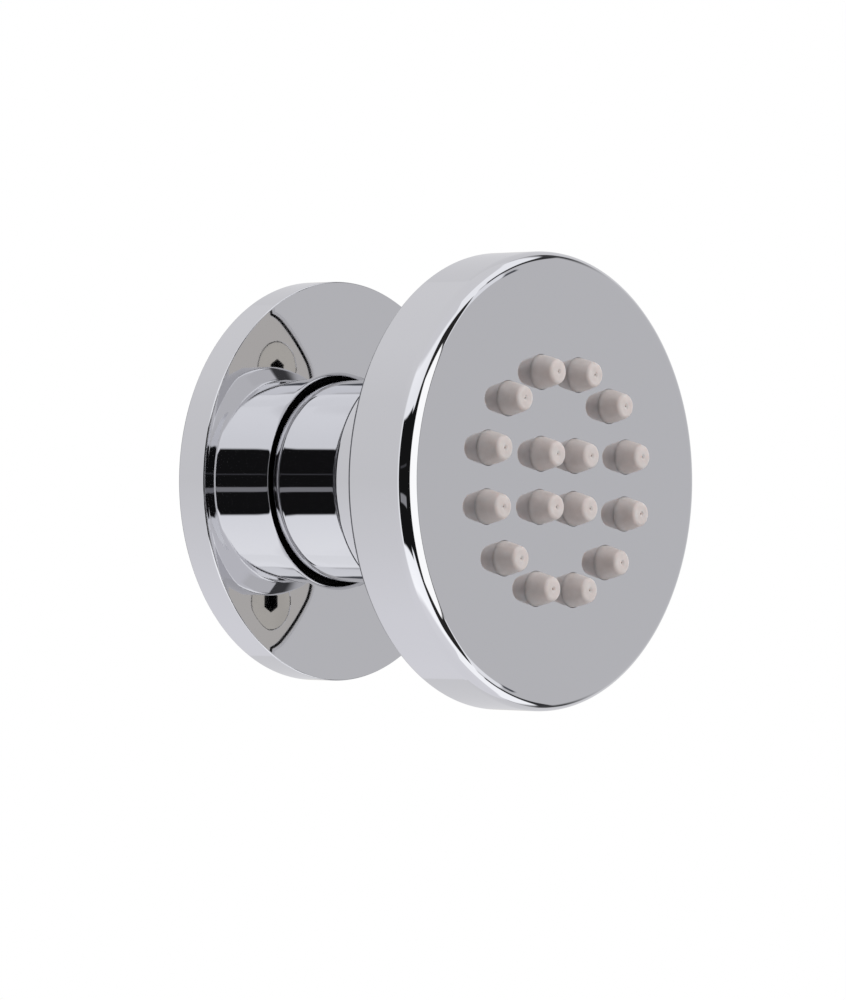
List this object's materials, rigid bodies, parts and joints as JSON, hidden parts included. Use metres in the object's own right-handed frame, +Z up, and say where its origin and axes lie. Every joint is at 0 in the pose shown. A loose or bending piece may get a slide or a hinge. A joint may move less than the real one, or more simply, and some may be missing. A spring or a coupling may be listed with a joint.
{
  "type": "shower body jet",
  "caption": "Wall-mounted shower body jet: flat round flange, ball-jointed neck and disc head with soft nozzles; the head can be aimed and turned.",
  "frame": {"origin": "on the axis of the inlet thread, in the plane of the finished wall", "axes": "-Y out of the wall along the jet, +Z up, +X to the right of someone who faces the wall"},
  "size_m": [0.07, 0.0669, 0.07],
  "materials": {
    "chrome_plate": "polished chrome plate",
    "foam_rubber": "closed-cell foam",
    "turned_brass": "turned brass",
    "natural_acetal": "moulded acetal",
    "white_ptfe": "turned fluoropolymer",
    "black_rubber": "moulded rubber",
    "grey_silicone": "moulded translucent silicone",
    "stainless_steel": "turned stainless steel"
  },
  "bodies": {
    "wall_part": {"wall_flange": "chrome_plate", "wall_gasket": "foam_rubber", "ball_nipple": "turned_brass", "inlet_filter": "natural_acetal", "flow_regulator": "natural_acetal", "regulator_ring": "black_rubber"},
    "ball_liner": {"rear_ball_liner": "white_ptfe"},
    "ball_seat": {"front_ball_seat": "white_ptfe", "ball_seal": "black_rubber", "seat_o_ring": "black_rubber"},
    "spray_head": {"head_body": "chrome_plate", "swivel_nut": "turned_brass", "thrust_washer": "black_rubber", "spray_face": "chrome_plate", "nozzle_mat": "grey_silicone", "nozzle_plate": "natural_acetal", "head_screws": "stainless_steel"}
  },
  "joints": [
    {"name": "head_pitch", "type": "hinge", "parent": "wall_part", "child": "ball_liner", "pos_m": [0, -0.012, 0], "axis": [1, 0, 0], "range_deg": [-7, 7]},
    {"name": "head_yaw", "type": "hinge", "parent": "ball_liner", "child": "ball_seat", "pos_m": [0, -0.012, 0], "axis": [0, 0, 1], "range_deg": [-7, 7]},
    {"name": "head_spin", "type": "hinge", "parent": "ball_seat", "child": "spray_head", "pos_m": [0, -0.012, 0], "axis": [0, -1, 0], "continuous": true}
  ]
}
